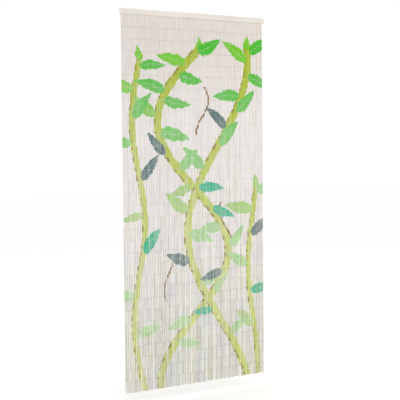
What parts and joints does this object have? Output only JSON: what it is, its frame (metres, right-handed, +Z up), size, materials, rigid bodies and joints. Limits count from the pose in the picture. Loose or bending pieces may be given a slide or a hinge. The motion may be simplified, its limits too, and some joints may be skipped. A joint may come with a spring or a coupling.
{
  "type": "bamboo bead string curtain and header rail",
  "caption": "Door curtain of painted bamboo bead strings that hang close together from a slim flat-backed wooden header rail.",
  "frame": {"origin": "middle of the header rail's flat back face", "axes": "+Z up, +X along the rail to the right as seen from the front, +Y into the wall, so the curtain faces -Y"},
  "size_m": [0.9, 0.012, 1.9998],
  "materials": {
    "rail_wood": "cream painted softwood batten, satin, faint grain",
    "bead_bamboo": "bamboo tubes in worn off-white paint with a painted leaf design, bare tan bamboo inside",
    "link_wire": "thin dull galvanised wire"
  },
  "bodies": {
    "root": {"header_rail": "rail_wood", "strands": "bead_bamboo"}
  },
  "joints": []
}
